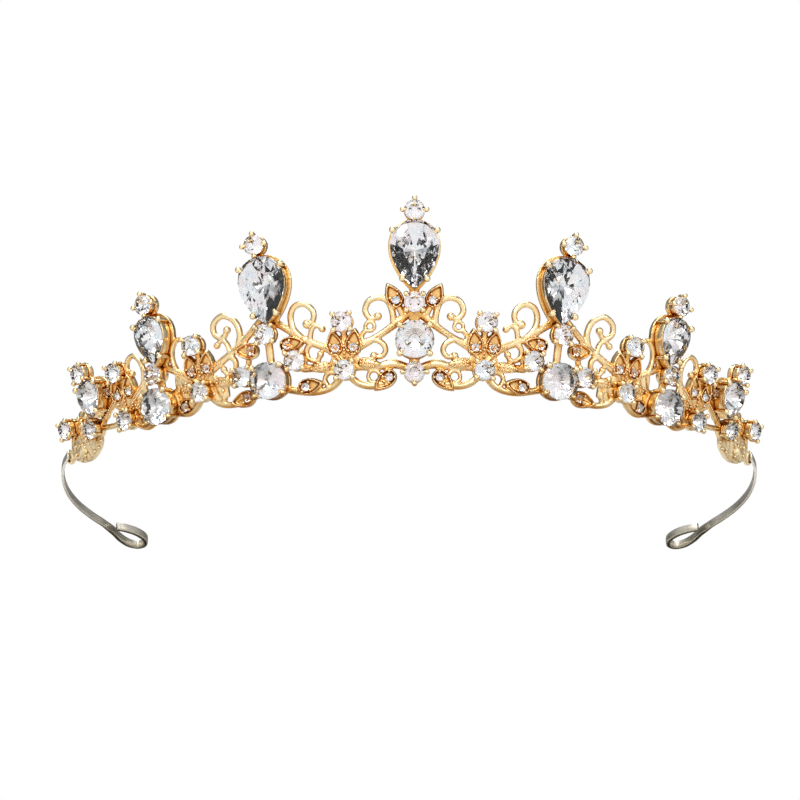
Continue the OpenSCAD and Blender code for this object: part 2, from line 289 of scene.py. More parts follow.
def noise(nt, scale, detail=3.0, rough=0.5, squeeze=None):
    """Cloudy noise in the object's own coordinates; squeeze packs it closer along an axis."""
    place = nt.nodes.new("ShaderNodeTexCoord").outputs["Object"]
    if squeeze:
        mapping = nt.nodes.new("ShaderNodeMapping")
        mapping.inputs["Scale"].default_value = squeeze
        nt.links.new(place, mapping.inputs["Vector"])
        place = mapping.outputs["Vector"]
    tex = nt.nodes.new("ShaderNodeTexNoise")
    tex.inputs["Scale"].default_value = scale
    tex.inputs["Detail"].default_value = detail
    tex.inputs["Roughness"].default_value = rough
    nt.links.new(place, tex.inputs["Vector"])
    return tex.outputs["Fac"]


def ramp(nt, source, stops):
    """Colours by the value of source; stops are (value, colour)."""
    node = nt.nodes.new("ShaderNodeValToRGB")
    e = node.color_ramp.elements
    while len(e) < len(stops):
        e.new(0.5)
    for k, (pos, col) in enumerate(stops):
        e[k].position = pos
        e[k].color = (*col, 1.0)
    nt.links.new(source, node.inputs["Fac"])
    return node.outputs["Color"]


def span(nt, source, low, high, start=0.0, end=1.0):
    """Maps source from start..end to low..high."""
    node = nt.nodes.new("ShaderNodeMapRange")
    for name, value in (("From Min", start), ("From Max", end), ("To Min", low), ("To Max", high)):
        node.inputs[name].default_value = value
    nt.links.new(source, node.inputs["Value"])
    return node.outputs["Result"]


def bump(nt, p, source, strength, distance):
    node = nt.nodes.new("ShaderNodeBump")
    node.inputs["Strength"].default_value = strength
    node.inputs["Distance"].default_value = distance
    nt.links.new(source, node.inputs["Height"])
    nt.links.new(node.outputs["Normal"], p.inputs["Normal"])


def painted_shade(nt, source, share, reach, start, end):
    """A painted shade mask from the ambient occlusion: 0 in the recesses to 1 on what stands out, made uneven
    by that share of source.
    """
    ao = nt.nodes.new("ShaderNodeAmbientOcclusion")
    ao.samples = 6
    ao.inputs["Distance"].default_value = reach
    add = nt.nodes.new("ShaderNodeMath")
    add.operation = "MULTIPLY_ADD"
    nt.links.new(source, add.inputs[0])
    add.inputs[1].default_value = share
    nt.links.new(ao.outputs["AO"], add.inputs[2])
    return span(nt, add.outputs["Value"], 0.0, 1.0, start, end)


def gold(name, deep, mid, pale, rough, reach):
    """Plated casting coloured with painted shade, orange in the recesses, and painted highlight, pale on what
    stands out, with a cast skin.
    """
    mat, nt, p = new_material(name)
    # painted shade and highlight: the ambient occlusion darkens the recesses to the deep tone and lightens
    # what stands out to the pale one
    shade = painted_shade(nt, noise(nt, 900.0, 4.0, 0.6), 0.35, reach, 0.25, 1.15)
    nt.links.new(ramp(nt, shade, [(0.0, deep), (0.5, mid), (0.92, pale)]), p.inputs["Base Color"])
    p.inputs["Metallic"].default_value = 1.0
    nt.links.new(span(nt, noise(nt, 2600.0, 3.0, 0.6), *rough), p.inputs["Roughness"])
    bump(nt, p, noise(nt, 1700.0, 5.0, 0.65), 0.35, 0.00012)
    return mat


def foil():
    """Mirror foil behind the stones, with the faint pink and blue of a coated back."""
    mat, nt, p = new_material("foil")
    blue, white, pink, straw = (0.80, 0.86, 0.92), (0.92, 0.93, 0.93), (0.93, 0.86, 0.88), (0.93, 0.91, 0.85)
    tint = ramp(nt, noise(nt, 420.0, 2.0), [(0.3, blue), (0.48, white), (0.66, pink), (0.74, straw)])
    nt.links.new(tint, p.inputs["Base Color"])
    p.inputs["Metallic"].default_value = 1.0
    nt.links.new(span(nt, noise(nt, 3000.0, 2.0), 0.01, 0.07), p.inputs["Roughness"])
    return mat


def crystal():
    """Clear cut glass with the faintest cast and a trace of dust."""
    mat, nt, p = new_material("crystal")
    p.inputs["Transmission Weight"].default_value = 1.0
    p.inputs["IOR"].default_value = 1.58
    tint = ramp(nt, noise(nt, 700.0, 2.0), [(0.35, (0.97, 0.985, 1.0)), (0.65, (1.0, 0.99, 0.985))])
    nt.links.new(tint, p.inputs["Base Color"])
    nt.links.new(span(nt, noise(nt, 5200.0, 3.0, 0.6), 0.0, 0.03), p.inputs["Roughness"])
    return mat


def strip_metal():
    """Nickel-toned spring strip with rolling marks; painted shade makes it a dull olive where it is sheltered
    and paler where it is open.
    """
    mat, nt, p = new_material("strip_metal")
    marks = noise(nt, 320.0, 4.0, squeeze=(1.0, 1.0, 14.0))
    # painted shade: the ambient occlusion darkens sheltered places to olive and lightens open ones to pale,
    # made uneven by the rolling marks
    shade = painted_shade(nt, marks, 0.5, 0.003, 0.4, 1.4)
    olive, nickel, pale = (0.36, 0.33, 0.25), (0.72, 0.68, 0.58), (0.93, 0.89, 0.80)
    nt.links.new(ramp(nt, shade, [(0.0, olive), (0.5, nickel), (0.95, pale)]), p.inputs["Base Color"])
    p.inputs["Metallic"].default_value = 1.0
    nt.links.new(span(nt, marks, 0.28, 0.46), p.inputs["Roughness"])
    bump(nt, p, marks, 0.12, 0.00004)
    return mat


# tones of painted shade in the recesses, between, and of painted highlight on top, then the span of roughness
# and the depth of a recess in metres
POLISHED, BRUSHED = (0.12, 0.28), (0.25, 0.5)
GOLD = gold("gold_casting", (0.52, 0.19, 0.02), (0.77, 0.43, 0.12), (0.92, 0.72, 0.41), POLISHED, 0.0026)
GOLD_CUP = gold("gold_cup", (0.50, 0.21, 0.03), (0.78, 0.48, 0.17), (0.92, 0.75, 0.46), POLISHED, 0.0018)
GOLD_SOLDER = gold("gold_solder", (0.52, 0.25, 0.06), (0.76, 0.50, 0.20), (0.93, 0.76, 0.48), BRUSHED, 0.0016)
FOIL = foil()
CRYSTAL = crystal()
STRIP = strip_metal()

# ---------------------------------------------------------------- where the motifs and stones sit


def seats(node):
    """(angle, height up the slope) of every separate solid of a CAD node, from its own box middles."""
    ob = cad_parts[node]
    co = np.array([ob.matrix_world @ v.co for v in ob.data.vertices]) * 1000.0
    first = {}
    parent = [first.setdefault(tuple(np.round(c, 3)), i) for i, c in enumerate(co)]

    def root(i):
        while parent[i] != i:
            parent[i] = parent[parent[i]]
            i = parent[i]
        return i

    for e in ob.data.edges:
        parent[root(e.vertices[0])] = root(e.vertices[1])
    groups = {}
    for i, c in enumerate(co):
        groups.setdefault(root(i), []).append(c)
    found = []
    for g in map(np.array, groups.values()):
        turn = np.arctan2(g[:, 0], AXIS_Y - g[:, 1])
        out = np.hypot(g[:, 0], AXIS_Y - g[:, 1]) - BASE_R
        v = out * SIN_F + (g[:, 2] - LIFT) * COS_F
        found.append((math.degrees((turn.min() + turn.max()) / 2), (v.min() + v.max()) / 2))
    return sorted(found)


SMALL = seats("stones_small_round")
BIG = seats("stones_big_round")
TINY = seats("stones_tiny")
PEARS = {n: seats("stones_" + n + "_pear") for n in ("big", "middle", "end")}
# width and length of the pear stones
PEAR_SIZE = {"big": (9.1, 13.1), "middle": (6.8, 9.8), "end": (6.3, 7.9)}
# angles of the motifs: the big round stones give the third and the second
OUTER_A, INNER_A = sorted((s[0] for s in BIG), reverse=True)[:2]
END_A = 54.0
LINK_A = [9.4, 30.5, 44.3]
# how far from a motif's angle its stones reach, in degrees
CENTRE_REACH, INNER_REACH, OUTER_REACH, END_REACH, LINK_REACH = 1, 5, 3, 5, 1.5


# ---------------------------------------------------------------- castings


def disc(p, a, v, r):
    """A flat round plate under a stone."""
    foot, lip = 0.2, 0.12
    under = [(CORE, -FACE), (r - foot, -FACE), (r, -FACE + foot)]
    p.lathe(a, 0, v, under + [(r, FACE - lip), (r - lip, FACE), (CORE, FACE)])


def drop_plate(p, side, pear, size):
    """The flat plate under a pear stone; pear gives its angle on the right half and its height."""
    lip = 0.12
    outline = drop_outline(size[0] + 1.0, size[1] + 1.2)
    p.dome(side * pear[0], 0, pear[1], outline, -FACE, lambda s, q: FACE if s < 0.95 else FACE - lip, 4)


def ring(p, a, u, v, r, wire=0.85, lift=0.0):
    """A ring of round wire lying in the band; r is its outer radius."""
    t = np.linspace(0, 2 * math.pi, 19)
    path = np.stack([u + (r - wire / 2) * np.cos(t), v + (r - wire / 2) * np.sin(t)], 1)
    p.tube(a, path, wire, WIRE, lift, fine=2)


PETAL_W, PETAL_L = 3.3, 5.3
# how far the middle of a petal lies from its stone towards the point
PETAL_SHIFT = 1.1 * PETAL_L / 5.2
# how near a tiny stone lies to the place of its petal
PETAL_NEAR = 1.5


def petal(p, beads, a, u, v, way):
    """A hollowed leaf with a raised rim and grains round its tiny stone; way is where its point lies."""
    out = drop_outline(PETAL_W, PETAL_L)
    out[:, 1] -= PETAL_SHIFT
    out = turned(out, way + 90)

    def top(s, q):
        rim = math.exp(-(((s - 0.84) / 0.11) ** 2))
        return FACE - 0.32 + 0.9 * rim - (0.3 if s > 0.98 else 0.0)

    p.dome(a, u, v, out, -FACE, top, 14)
    for k in range(4):
        q = turned([[1.12, 0]], way + 45 + 90 * k)[0]
        beads.bead(a, u + q[0], v + q[1], FACE + 0.42, 0.3, 0.9, 10)


def on_right(u, a):
    """The offset u as it would be on the right half."""
    return abs(u) if a == 0 else math.copysign(u, a * u)


def petals_at(p, beads, a, ways):
    """A petal round every tiny stone of the motif at a; ways has the offset, height and way of each."""
    for angle, v in TINY:
        u = math.radians(angle - a) * (BASE_R + v * SIN_F)
        off = {q: math.hypot(q[0] - on_right(u, a), q[1] - v) for q in ways}
        near = min(ways, key=off.get)
        if off[near] < PETAL_NEAR:
            right = a > 0 or (a == 0 and u > 0)
            petal(p, beads, a, u, v, near[2] if right else 180 - near[2])


def leaf(p, beads, a, u, v, turn, w=2.1, length=4.8):
    """A pointed leaf lying along the band, covered with rows of grains."""
    out = turned(drop_outline(w, length), turn)
    p.dome(a, u, v, out, -FACE + 0.1, lambda s, q: FACE + 0.32 * (1 - s * s) - (0.2 if s > 0.98 else 0), 8)
    for across, first, count in ((0, -1.7, 5), (-0.55, -0.9, 4), (0.55, -0.9, 4)):
        for k in range(count):
            q = turned([[across, first + 0.82 * k + 0.1]], turn)[0]
            beads.bead(a, u + q[0], v + q[1], FACE + 0.3 - 0.3 * abs(across), 0.27, 0.9, 10)


def grains(beads, a, path, r=0.24):
    """A row of grains along a strip."""
    for q in smooth(path, 5):
        beads.bead(a, q[0], q[1], FACE - 0.02, r, 0.9, 8)


def flip(path, f):
    """The path itself for f = 1 and its mirror image for f = -1."""
    return [[f * q[0], q[1]] for q in path]


def seat_discs(p, a, reach):
    """A round plate under every round stone within reach of the angle a."""
    for stones, r in ((SMALL, SMALL_R + 0.03), (BIG, BIG_R + 0.05)):
        for angle, v in stones:
            if abs(angle - a) < reach:
                disc(p, angle, v, r)


def web(p, a, f, points, half=0.4):
    """A thin solid web with an uneven skin that closes the open work beside a motif."""
    q = np.asarray(points, float)
    mid = (q.max(0) + q.min(0)) / 2
    out = flip(smooth(np.vstack([q, q[:1]]) - mid, 4)[:-1], f)

    def top(s, c):
        wave = 0.12 * math.sin(4.1 * c[0] + 1.7 * c[1]) if s < 0.95 else 0.0
        return half + 0.22 * (1 - s) + wave

    p.dome(a, f * mid[0], mid[1], out[::-1] if f > 0 else out, -half, top, 8)


def strokes(p, a, f, rows):
    """Strips of open work: width, radius of the ball at the end, points and the taper along them."""
    for w, ball, path, taper in rows:
        p.tube(a, flip(path, f), w, taper=taper)
        if ball:
            p.bead(a, f * path[-1][0], path[-1][1], 0.08, ball, 0.95)


# work of the right half of each motif: width, end ball, points and taper of every strip
CENTRE_WORK = [
    (1.5, 0, [[1, 15.6], [3.2, 13.8], [6, 11.8], [9, 10.1], [12.4, 8.4]], [1.2, 1, 0.9, 1, 1.35]),
    (1.25, 0.82, [[3.9, 13.2], [4.1, 15.6], [5, 17.8], [6.7, 18.6], [8.6, 18], [9.3, 16.2], [8.3, 14.7],
                  [6.9, 15]], [1.15, 1, 1, 1, 0.95, 0.85]),
    (1.0, 0, [[9.2, 12.5], [10, 11.4], [9.6, 10]], None),
    (1.15, 0.77, [[11, 8.6], [9.8, 10], [7.9, 10.7], [6.1, 10], [5.4, 8.6], [6.2, 7.4], [7.6, 7.6]],
     [1.2, 1, 1, 0.95, 0.85]),
    (1.7, 0, [[1.4, 5.3], [4.2, 6], [7.4, 5.4], [10.5, 5.6], [12.4, 5.3]], [0.9, 1.1, 0.85, 0.8, 1.0]),
    (1.4, 0, [[6.2, 2.2], [8.4, 1.9], [10.6, 2.6], [12, 4], [12.4, 6]], None),
]
INNER_WORK = [
    (1.5, 0, [[0.8, 16.6], [3.4, 14.4], [6.6, 12], [10, 10.2], [13.6, 8.6]], [1.1, 0.95, 0.95, 1.05, 1.5]),
    (1.0, 0.7, [[8.2, 11.6], [8.7, 13.3], [9.7, 14.1], [10.8, 13.3]], [1.1, 1, 0.9]),
    (1.05, 0.7, [[8.6, 11], [7.3, 9.7], [7.5, 8], [9.1, 7.4], [9.9, 8.5]], [1.2, 1, 0.9]),
    (1.5, 0, [[6.4, 6.2], [9.5, 5.9], [13.6, 5.4]], [1.1, 0.9, 1.1]),
    (1.35, 0, [[3, 2.6], [6.4, 1.6], [9.2, 1.5], [11.8, 2.4], [13.6, 4.4]], [1.2, 1, 0.9, 1, 1.2]),
    (0.95, 0, [[12.9, 4.4], [11.3, 4.9], [10.2, 3.9], [10.6, 2.4]], None),
    (1.15, 0, [[4.6, 8.6], [4.2, 10], [3.4, 11.4]], None),
]
SCROLL_TAPER = [1.15, 1.05, 1, 1, 0.95, 0.85]
SCROLL_OUT = (1.25, 0.8, [[6.4, 12.2], [5.7, 14.6], [6.5, 17.2], [8.9, 18.7], [11, 17.6], [11.1, 15.6],
                          [9.4, 14.5], [8.3, 15.8]], SCROLL_TAPER)
SCROLL_IN = (1.25, 0.92, [[6.6, 12], [5.2, 13.9], [4.9, 16.3], [5.9, 18.1], [7.9, 18.4], [9.4, 16.9],
                          [9.2, 15.1], [8, 14.5]], SCROLL_TAPER)
OUTER_WORK = [
    (1.45, 0, [[1.2, 12.4], [3.4, 10.9], [5.8, 9.4], [8.6, 7.6]], [1.1, 1, 1, 1.3]),
    (1.1, 0.72, [[4.4, 10.3], [3.8, 12.6], [4.3, 15], [5.8, 16.4], [7.5, 15.7], [7.9, 14], [6.8, 13]],
     [1.2, 1.05, 1, 0.95, 0.9]),
    (0.95, 0, [[7.4, 8.5], [7.9, 10.3], [9, 10.9], [9.7, 9.9]], None),
    (1.5, 0, [[3.2, 6.6], [5.6, 6.5], [8.6, 5.6]], None),
    (1.35, 0, [[2.6, 2.6], [5.2, 1.9], [7.4, 2.8], [8.8, 4.6]], [1.1, 1, 1, 1.2]),
]
END_WORK = [
    (1.8, 0, [[-2.9, 6], [-1, 9.2], [1.6, 9.6], [5.6, 9]], None),
    (1.8, 0, [[-1, 8.8], [-5.4, 9.4]], None),
    (1.9, 0, [[-5.6, 14], [-4.2, 17]], None),
    (1.4, 0, [[-10.8, 9.8], [-8.2, 8.4], [-4.4, 6.4]], [1.3, 0.9, 1.2]),
    (1.2, 0, [[-10.6, 4.9], [-8.2, 4.9], [-4.6, 5.6]], None),
    (1.4, 0, [[-0.6, 9.4], [-0.4, 12], [-1.3, 14.6], [-3.2, 16.8]], None),
    (1.2, 0, [[-5, 9.6], [-7.4, 10.2], [-9.6, 11.4]], None),
    (2.4, 0, [[1.4, 10], [1.6, 7.4], [2.4, 4.6]], None),
    (1.4, 0, [[5.6, 8.4], [6.8, 6.6], [7.8, 5]], None),
]
# outlines of the solid webs beside the second and the third motif and at the end knot
INNER_WEB = [[9.2, 3.2], [9.6, 6.2], [12.2, 7.9], [14.3, 7], [14.2, 4.6], [11.6, 2.6]]
OUTER_WEB = [[3.4, 7.6], [4.2, 10.2], [7.2, 8.8], [8.4, 5.4], [7.2, 2.6], [4.4, 2.3]]
KNOT_WEB = [[-3.8, 5.8], [-2.6, 2.8], [0.6, 1.2], [4.2, 1.2], [7.8, 3.3], [8.0, 5.2], [4.6, 6.8], [0.6, 7.0]]
# (sideways offset, height, way the point lies) of the petals on the right half
CENTRE_WAYS = [(4.75, 3.45, -42), (3.5, 18.0, 62)]
INNER_WAYS = [(-3.7, 10.9, 172), (3.6, 10.9, 8), (-6.4, 2.6, 172), (5.4, 2.15, -8)]
OUTER_WAYS = [(-5.0, 3.1, 172), (5.0, 3.1, 8)]
LINK_WAYS = [(-1.7, 9.4, 99), (1.7, 9.4, 81)]
END_WAYS = [(-9.8, 11.6, 165)]


def centre_casting():
    """The first motif, which rises to the point of the tiara."""
    p, beads = Piece(), Piece()
    seat_discs(p, 0, CENTRE_REACH)
    drop_plate(p, 0, PEARS["big"][1], PEAR_SIZE["big"])
    p.tube(0, [[0, 3], [0, 12], [0, 21.5]], 2.0)
    p.tube(0, [[0, 31], [0, 34]], 2.0)
    for f in (-1, 1):
        strokes(p, 0, f, CENTRE_WORK)
        ring(p, 0, f * 8.4, 13.2, 1.25, 0.75)
        ring(p, 0, f * 7.6, 3.7, 1.5, 0.8)
        leaf(p, beads, 0, f * 8.3, 6.2, f * -80)
        p.tube(0, flip([[2.0, 14.9], [2.7, 16.4]], f), 1.4)
        grains(beads, 0, flip([[9.4, 9.8], [11.0, 8.9], [12.2, 7.6]], f))
        grains(beads, 0, flip([[3.2, 13.8], [5.0, 12.5], [7.2, 11.1]], f), 0.2)
    petals_at(p, beads, 0, CENTRE_WAYS)
    return p, beads


def inner_casting(side):
    """The second motif; side is 1 on the right and -1 on the left."""
    a = side * INNER_A
    p, beads = Piece(), Piece()
    seat_discs(p, a, INNER_REACH)
    drop_plate(p, side, PEARS["big"][2], PEAR_SIZE["big"])
    p.tube(a, [[0, 7.6], [0, 10], [0, 17.4]], 1.6)
    p.tube(a, [[0, 27], [0, 30]], 2.0)
    for out in (-1, 1):
        f = side * out
        strokes(p, a, f, INNER_WORK + [SCROLL_OUT if out > 0 else SCROLL_IN])
        leaf(p, beads, a, f * 9.6, 6.0, f * -86)
        grains(beads, a, flip([[10.4, 9.9], [12.0, 9.2], [13.2, 8.0]], f))
        grains(beads, a, flip([[2.6, 15.1], [4.6, 13.4], [6.8, 11.9]], f), 0.2)
    petals_at(p, beads, a, INNER_WAYS)
    web(p, a, side, INNER_WEB)
    for q in ((10.4, 4.4), (11.6, 5.8), (12.4, 4.2), (13.0, 6.6)):
        beads.bead(a, side * q[0], q[1], 0.5, 0.4, 0.8)
    return p, beads


def outer_casting(side):
    """The third motif, lower than the second and without its scrolls."""
    a = side * OUTER_A
    p, beads = Piece(), Piece()
    seat_discs(p, a, OUTER_REACH)
    drop_plate(p, side, PEARS["middle"][1], PEAR_SIZE["middle"])
    p.tube(a, flip([[0, 7], [-0.2, 11], [-1.5, 14.6]], side), 1.8)
    p.tube(a, flip([[-1.6, 21], [-1.2, 24]], side), 2.0)
    for out in (-1, 1):
        f = side * out
        strokes(p, a, f, OUTER_WORK)
        web(p, a, f, OUTER_WEB)
        leaf(p, beads, a, f * 6.0, 6.6, f * -82, 1.9, 4.0)
        grains(beads, a, flip([[5.0, 9.8], [6.6, 8.9], [8.0, 7.8]], f))
    petals_at(p, beads, a, OUTER_WAYS)
    return p, beads


def end_casting(side):
    """The last motif, with a small pear between four round stones and a branch of grains."""
    a = side * END_A
    p, beads = Piece(), Piece()
    seat_discs(p, a, END_REACH)
    petals_at(p, beads, a, END_WAYS)
    drop_plate(p, side, PEARS["end"][1], PEAR_SIZE["end"])
    strokes(p, a, side, END_WORK)
    for k in range(7):
        beads.bead(a, side * (1.55 + 0.38 * ((-1) ** k)), 9.8 - 0.75 * k, 0.7, 0.55, 0.9)
    for k in range(5):
        beads.bead(a, side * (-0.4 - 0.12 * k * k), 11.4 + 1.1 * k, 0.6, 0.42, 0.9)
    grains(beads, a, flip([[-10.2, 9.3], [-8.2, 8.2], [-5.6, 7.0]], side))
    return p, beads


LINK_PLATE = [[-1.2, -3.4], [-3.1, -1.4], [-2.2, 0.6], [0, 3.4], [2.2, 0.6], [3.1, -1.4], [1.2, -3.4]]


def link_casting(k, side):
    """The casting between two motifs: two petals on a stem between an upper and a lower stone."""
    a = side * LINK_A[k]
    here = sorted(v for angle, v in SMALL if abs(angle - a) < LINK_REACH)
    low, high = here[0], here[-1]
    p, beads = Piece(), Piece()
    seat_discs(p, a, LINK_REACH)
    p.dome(a, 0, 8, LINK_PLATE[::-1], -0.4, lambda s, q: 0.42 + 0.25 * (1 - s), 6)
    p.tube(a, [[0, low + 1.2], [0, low + 3.6], [0, high - 1.2]], 1.4, taper=[1.5, 1.0, 0.9])
    petals_at(p, beads, a, LINK_WAYS)
    for f in (-1, 1):
        p.tube(a, flip([[0.7, low + 1.7], [1.7, low + 2.9], [2.7, low + 3.4]], f), 0.8, lift=0.35)
    for j in range(4):
        beads.bead(a, 0, low + 2.5 + 0.7 * j, 0.75, 0.3, 0.9, 10)
    return p, beads


# size of the steps in which the castings and the solder are melted together
VOXEL, SOLDER_VOXEL = 0.15, 0.14


def cast(made, name, node):
    body, beads = made
    body.build(name, [GOLD], [node], "gold_casting", VOXEL, beads)


cast(centre_casting(), "casting_centre", "panel_centre")
for side, word in SIDES:
    for make, name in ((inner_casting, "inner"), (outer_casting, "outer"), (end_casting, "end")):
        cast(make(side), f"casting_{name}_{word}", f"panel_{name}_{word}")
    for k, name in enumerate(("inner", "middle", "outer")):
        cast(link_casting(k, side), f"link_{name}_{word}_cast", f"link_{name}_{word}")

# ---------------------------------------------------------------- cups and stones


def claw(p, a, x, y, dx, dy, h, stem, bead):
    """A claw: a short stem beside the cup and a bead pressed over the edge of the stone."""
    top = FACE + h + PROUD + 0.1
    path = [[x - dx * 0.02, y - dy * 0.02], [x + dx * 0.02, y + dy * 0.02]]
    p.tube(a, path, stem, h + PROUD, FACE + (h + PROUD) * 0.5, fine=2)
    p.bead(a, x + dx * 0.05, y + dy * 0.05, top, bead, 0.95)
    p.bead(a, x - dx * bead * 0.75, y - dy * bead * 0.75, top + 0.08, bead * 0.55, 0.7)


def round_cup(p, a, v, r, h, turn):
    """A turned cup with a rolled lip, a groove under it and four bead claws on short stems."""
    ro, ri, base = r - 0.04, r - 0.4, FACE
    foot = [(ri, base), (ro - 0.36, base - 0.1), (ro - 0.3, base + 0.1), (ro - 0.04, base + 0.45)]
    groove = [(ro - 0.12, base + 0.62), (ro, base + 0.8)]
    lip = [(ro, base + h - 0.12), (ro - 0.1, base + h), (ri + 0.06, base + h), (ri, base + h - 0.1)]
    p.lathe(a, 0, v, foot + groove + lip)
    for k in range(4):
        t = math.radians(turn + 90 * k)
        c, s = math.cos(t), math.sin(t)
        claw(p, a, c * (r + 0.2), v + s * (r + 0.2), c, s, h, 0.66, 0.52 if r < 3 else 0.62)


def pear_cup(p, a, v, w, length, h):
    """A drop-shaped cup with the same groove and lip, and four claws round its edge."""
    n, base = 48, FACE
    out = drop_outline(w - 0.1, length - 0.1, n)
    inn = drop_outline(w - 0.9, length - 1.4, n)
    rows = [(inn, base, 0.98), (out, base - 0.1, 0.93), (out, base + 0.45, 0.985), (out, base + 0.62, 0.965),
            (out, base + 0.82, 1.0), (out, base + h - 0.1, 1.0), (out, base + h, 0.985),
            (inn, base + h, 1.01), (inn, base + h - 0.12, 1.0)]
    pts = [[q[0] * s, v + q[1] * s, z] for outline, z, s in rows for q in outline]
    p.add(on_band(a, pts), flipped(quads(len(rows), n, True)))
    edge = drop_outline(w, length, 30)
    for k in (4, 11, 19, 26):
        q = edge[k]
        d = q / np.linalg.norm(q)
        claw(p, a, q[0] + d[0] * 0.24, v + q[1] + d[1] * 0.24, d[0], d[1], h, 0.74, 0.62)


def claw_turn(a, v):
    """Claws stand square to the band on the stones that crown a pear and on the lowest one of the centre."""
    return 0 if v > 19 or (abs(a) < 1 and v < 5) else 45


def brilliant(p, a, v, outline, middle, base, girdle, crown, table):
    """A faceted stone with foil behind and crystal in front.

    The outline is its girdle, with two points for each main facet; table is the share of the flat top.
    """
    o = np.asarray(outline, float)
    m = np.asarray(middle, float)
    n2 = len(o)
    n1 = n2 // 2
    pts = []

    def put(q, h):
        pts.append([q[0], v + q[1], h])
        return len(pts) - 1

    def around(indices, share, h):
        """A ring of points at that share of the way from the middle to the girdle."""
        return [put(m + (o[i % n2] - m) * share, h) for i in indices]

    corners, between = [2 * k for k in range(n1)], [2 * k + 1 for k in range(n1)]
    t = around(corners, table, girdle + crown)
    star = around(between, (table + 1) / 2 + 0.02, girdle + crown * 0.56)
    g = around(range(n2), 1.0, girdle)
    under = around(range(n2), 1.0, girdle - 0.12)
    mid = around(between, 0.45, base + (girdle - base) * 0.42)
    tip = put(m, base)
    face, back = [t], []
    for k in range(n1):
        q, e = (k + 1) % n1, (2 * k + 2) % n2
        face += [[t[k], star[k], t[q]], [t[q], star[k], g[e], star[q]]]
        face += [[star[k], g[2 * k], g[2 * k + 1]], [star[k], g[2 * k + 1], g[e]]]
        back += [[under[2 * k], mid[k], under[2 * k + 1]], [under[2 * k + 1], mid[k], under[e]]]
        back += [[under[e], mid[k], tip], [under[e], tip, mid[q]]]
    for k in range(n2):
        q = (k + 1) % n2
        face.append([g[k], under[k], under[q], g[q]])
    p.add(on_band(a, pts), face + back, [0] * len(face) + [1] * len(back), False)


def round_points(r, n=16):
    """n points on a circle of radius r, from its foot round."""
    t = np.arange(n) * 2 * math.pi / n
    return np.stack([r * np.sin(t), -r * np.cos(t)], 1)


for name, where, r, h in (("small_round", SMALL, SMALL_R, SMALL_H), ("big_round", BIG, BIG_R, BIG_H)):
    cups, stones = Piece(), Piece()
    for a, v in where:
        round_cup(cups, a, v, r, h, claw_turn(a, v))
        spin = turned(round_points(r, 24 if r > 3 else 16), (a * 7.3) % 45)
        brilliant(stones, a, v, spin, (0, 0), FACE + SEAT, FACE + h + PROUD, r * 0.36, 0.56)
    cups.build("settings_" + name, [GOLD_CUP], ["cups_" + name], "gold_cup")
    stones.build("gems_" + name, [CRYSTAL, FOIL], ["stones_" + name], "crystal")

for name, where in PEARS.items():
    w, length = PEAR_SIZE[name]
    cups, stones = Piece(), Piece()
    for a, v in where:
        pear_cup(cups, a, v, w, length, BIG_H)
        girdle = drop_outline(w, length, 20)
        brilliant(stones, a, v, girdle, (0, 0.06 * length), FACE + SEAT, FACE + BIG_H + PROUD, 1.25, 0.5)
    cups.build(f"settings_{name}_pear", [GOLD_CUP], [f"cups_{name}_pear"], "gold_cup")
    stones.build(f"gems_{name}_pear", [CRYSTAL, FOIL], [f"stones_{name}_pear"], "crystal")

stones = Piece()
for a, v in TINY:
    brilliant(stones, a, v, round_points(TINY_R + 0.04), (0, 0), FACE - 0.3, FACE + 0.42, 0.3, 0.56)
stones.build("gems_tiny", [CRYSTAL, FOIL], ["stones_tiny"], "crystal")

# ---------------------------------------------------------------- end knots and arms

ARM_H, ARM_T = 1.8, 0.6
# plan of the right arm and of its loop: across, and back from the axis of the band
ARM_PATH = [[69.4, -39.6], [70.8, -35.8], [71.4, -32], [71.5, -27.9], [70.9, -23.4], [69.4, -18.8],
            [67.3, -14.8], [65.4, -11.8]]
LOOP_PATH = [[64.4, -9.4], [63.3, -6.4], [62.4, -3], [60.8, 0.4], [58.8, 1.6], [57.2, 0.2], [57, -2.8],
             [58.4, -6], [60.6, -8.2], [62.4, -9.2]]
# the loop is rolled from the strip doubled back on itself
LOOP_T = ARM_T * 1.7
# height of the strip's middle at the knot, and how steeply it falls
ARM_TOP, ARM_FALL = 4.55, math.tan(math.radians(7.5))
ARM_STEPS, ARM_SIDES = 8, 16


def eased(x, reach=4):
    """The values x, each the mean of its neighbours up to reach away."""
    return np.convolve(np.pad(x, reach, mode="edge"), np.ones(2 * reach + 1) / (2 * reach + 1), mode="valid")


def arm(side):
    """The spring strip from the end knot round to its rolled loop, with a rounded section."""
    plan = smooth(ARM_PATH + LOOP_PATH, ARM_STEPS)
    m, n = len(plan), ARM_SIDES
    in_loop = np.arange(m) >= ARM_STEPS * len(ARM_PATH)
    fall = np.maximum(ARM_TOP - (plan[:, 1] - ARM_PATH[0][1]) * ARM_FALL, ARM_H / 2)
    z = eased(np.where(in_loop, ARM_H / 2, fall))
    thick = eased(np.where(in_loop, LOOP_T, ARM_T))
    d = np.gradient(plan, axis=0)
    d /= np.linalg.norm(d, axis=1)[:, None]
    pts = []
    for i in range(m):
        for k in range(n):
            t = 2 * math.pi * (k + 0.5) / n
            c, s = math.cos(t), math.sin(t)
            e = math.copysign(abs(c) ** 0.5, c) * thick[i] / 2
            h = math.copysign(abs(s) ** 0.4, s) * ARM_H / 2
            pts.append([side * (plan[i, 0] - d[i, 1] * e), AXIS_Y + plan[i, 1] + d[i, 0] * e, z[i] + h])
    faces = flipped(quads(m, n)) + [list(range(n)), [(m - 1) * n + k for k in range(n)][::-1]]
    p = Piece()
    p.add(pts, faces if side > 0 else [f[::-1] for f in faces])
    return p


BLOB_U, BLOB_V = 3.3, 3.4
